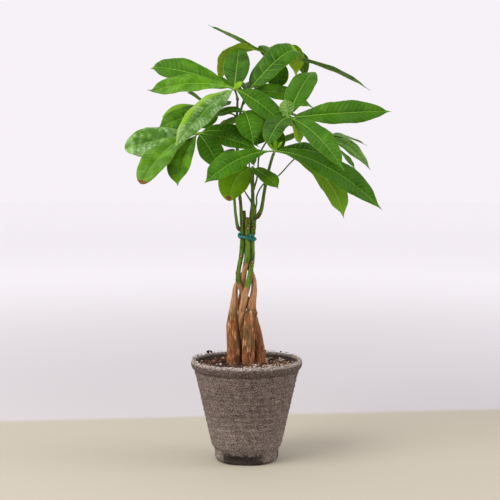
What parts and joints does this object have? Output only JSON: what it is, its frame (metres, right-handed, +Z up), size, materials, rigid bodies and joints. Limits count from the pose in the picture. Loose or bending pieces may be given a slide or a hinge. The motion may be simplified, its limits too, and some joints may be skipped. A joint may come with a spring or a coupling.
{
  "type": "potted money tree",
  "caption": "Braided money tree in a tapered moulded fibre pot of potting mix, its stems held by a plant tie under a crown of hand-shaped leaves.",
  "frame": {"origin": "centre of the flat underside of the pot", "axes": "+Z up the plant, +X to the right and -Y towards the viewer in the picture"},
  "size_m": [0.3034, 0.2648, 0.5125],
  "materials": {
    "fibre": "rough moulded fibre, greyish brown",
    "soil": "loose potting mix with bark and pale perlite",
    "bark": "papery brown bark below, green stem above",
    "leaf": "living leaf, satin green",
    "tie": "soft teal plant tie"
  },
  "bodies": {
    "root": {"pot": "fibre", "soil": "soil", "stem_left": "bark", "stem_centre": "bark", "stem_right": "bark", "stem_front": "bark", "stem_back": "bark", "tie": "tie", "leaf_upper_left": "leaf", "leaf_crown": "leaf", "leaf_top": "leaf", "leaf_right": "leaf", "leaf_front": "leaf", "leaf_middle": "leaf", "leaf_left": "leaf", "leaf_back_left": "leaf", "leaf_low": "leaf", "leaf_back_right": "leaf", "leaf_low_back": "leaf", "leaf_back": "leaf"}
  },
  "joints": []
}
